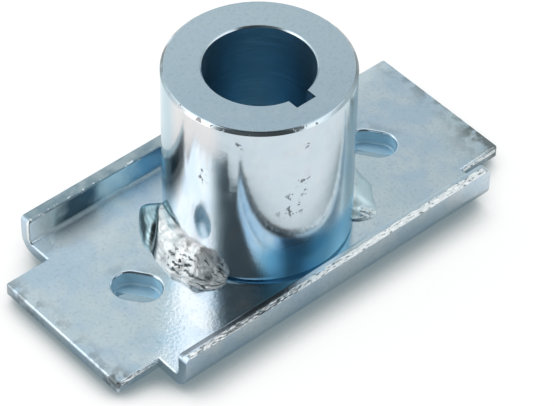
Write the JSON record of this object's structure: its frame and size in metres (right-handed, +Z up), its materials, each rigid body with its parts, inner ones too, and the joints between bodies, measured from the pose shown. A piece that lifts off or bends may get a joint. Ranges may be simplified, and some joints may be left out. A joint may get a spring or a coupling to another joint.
{
  "type": "mower blade holder",
  "caption": "Mower blade holder: a folded steel plate with pressed lugs that drive the blade, and a welded hub with a keyed bore for the engine's crankshaft.",
  "frame": {"origin": "on the bore's axis, at the plate's underside where the blade is clamped", "axes": "+Z up along the bore to the engine, +X along the plate's length, keyway towards -Y"},
  "size_m": [0.1, 0.0506, 0.0448],
  "materials": {
    "plate_zinc": "sheet steel, bright zinc plated with a blue passivation, satin",
    "hub_zinc": "turned steel, bright zinc plated with a blue passivation, glossy",
    "weld_zinc": "weld metal, plated over, rough and bright"
  },
  "bodies": {
    "root": {"base_plate": "plate_zinc", "hub": "hub_zinc", "weld_bead_left": "weld_zinc", "weld_bead_right": "weld_zinc"}
  },
  "joints": []
}
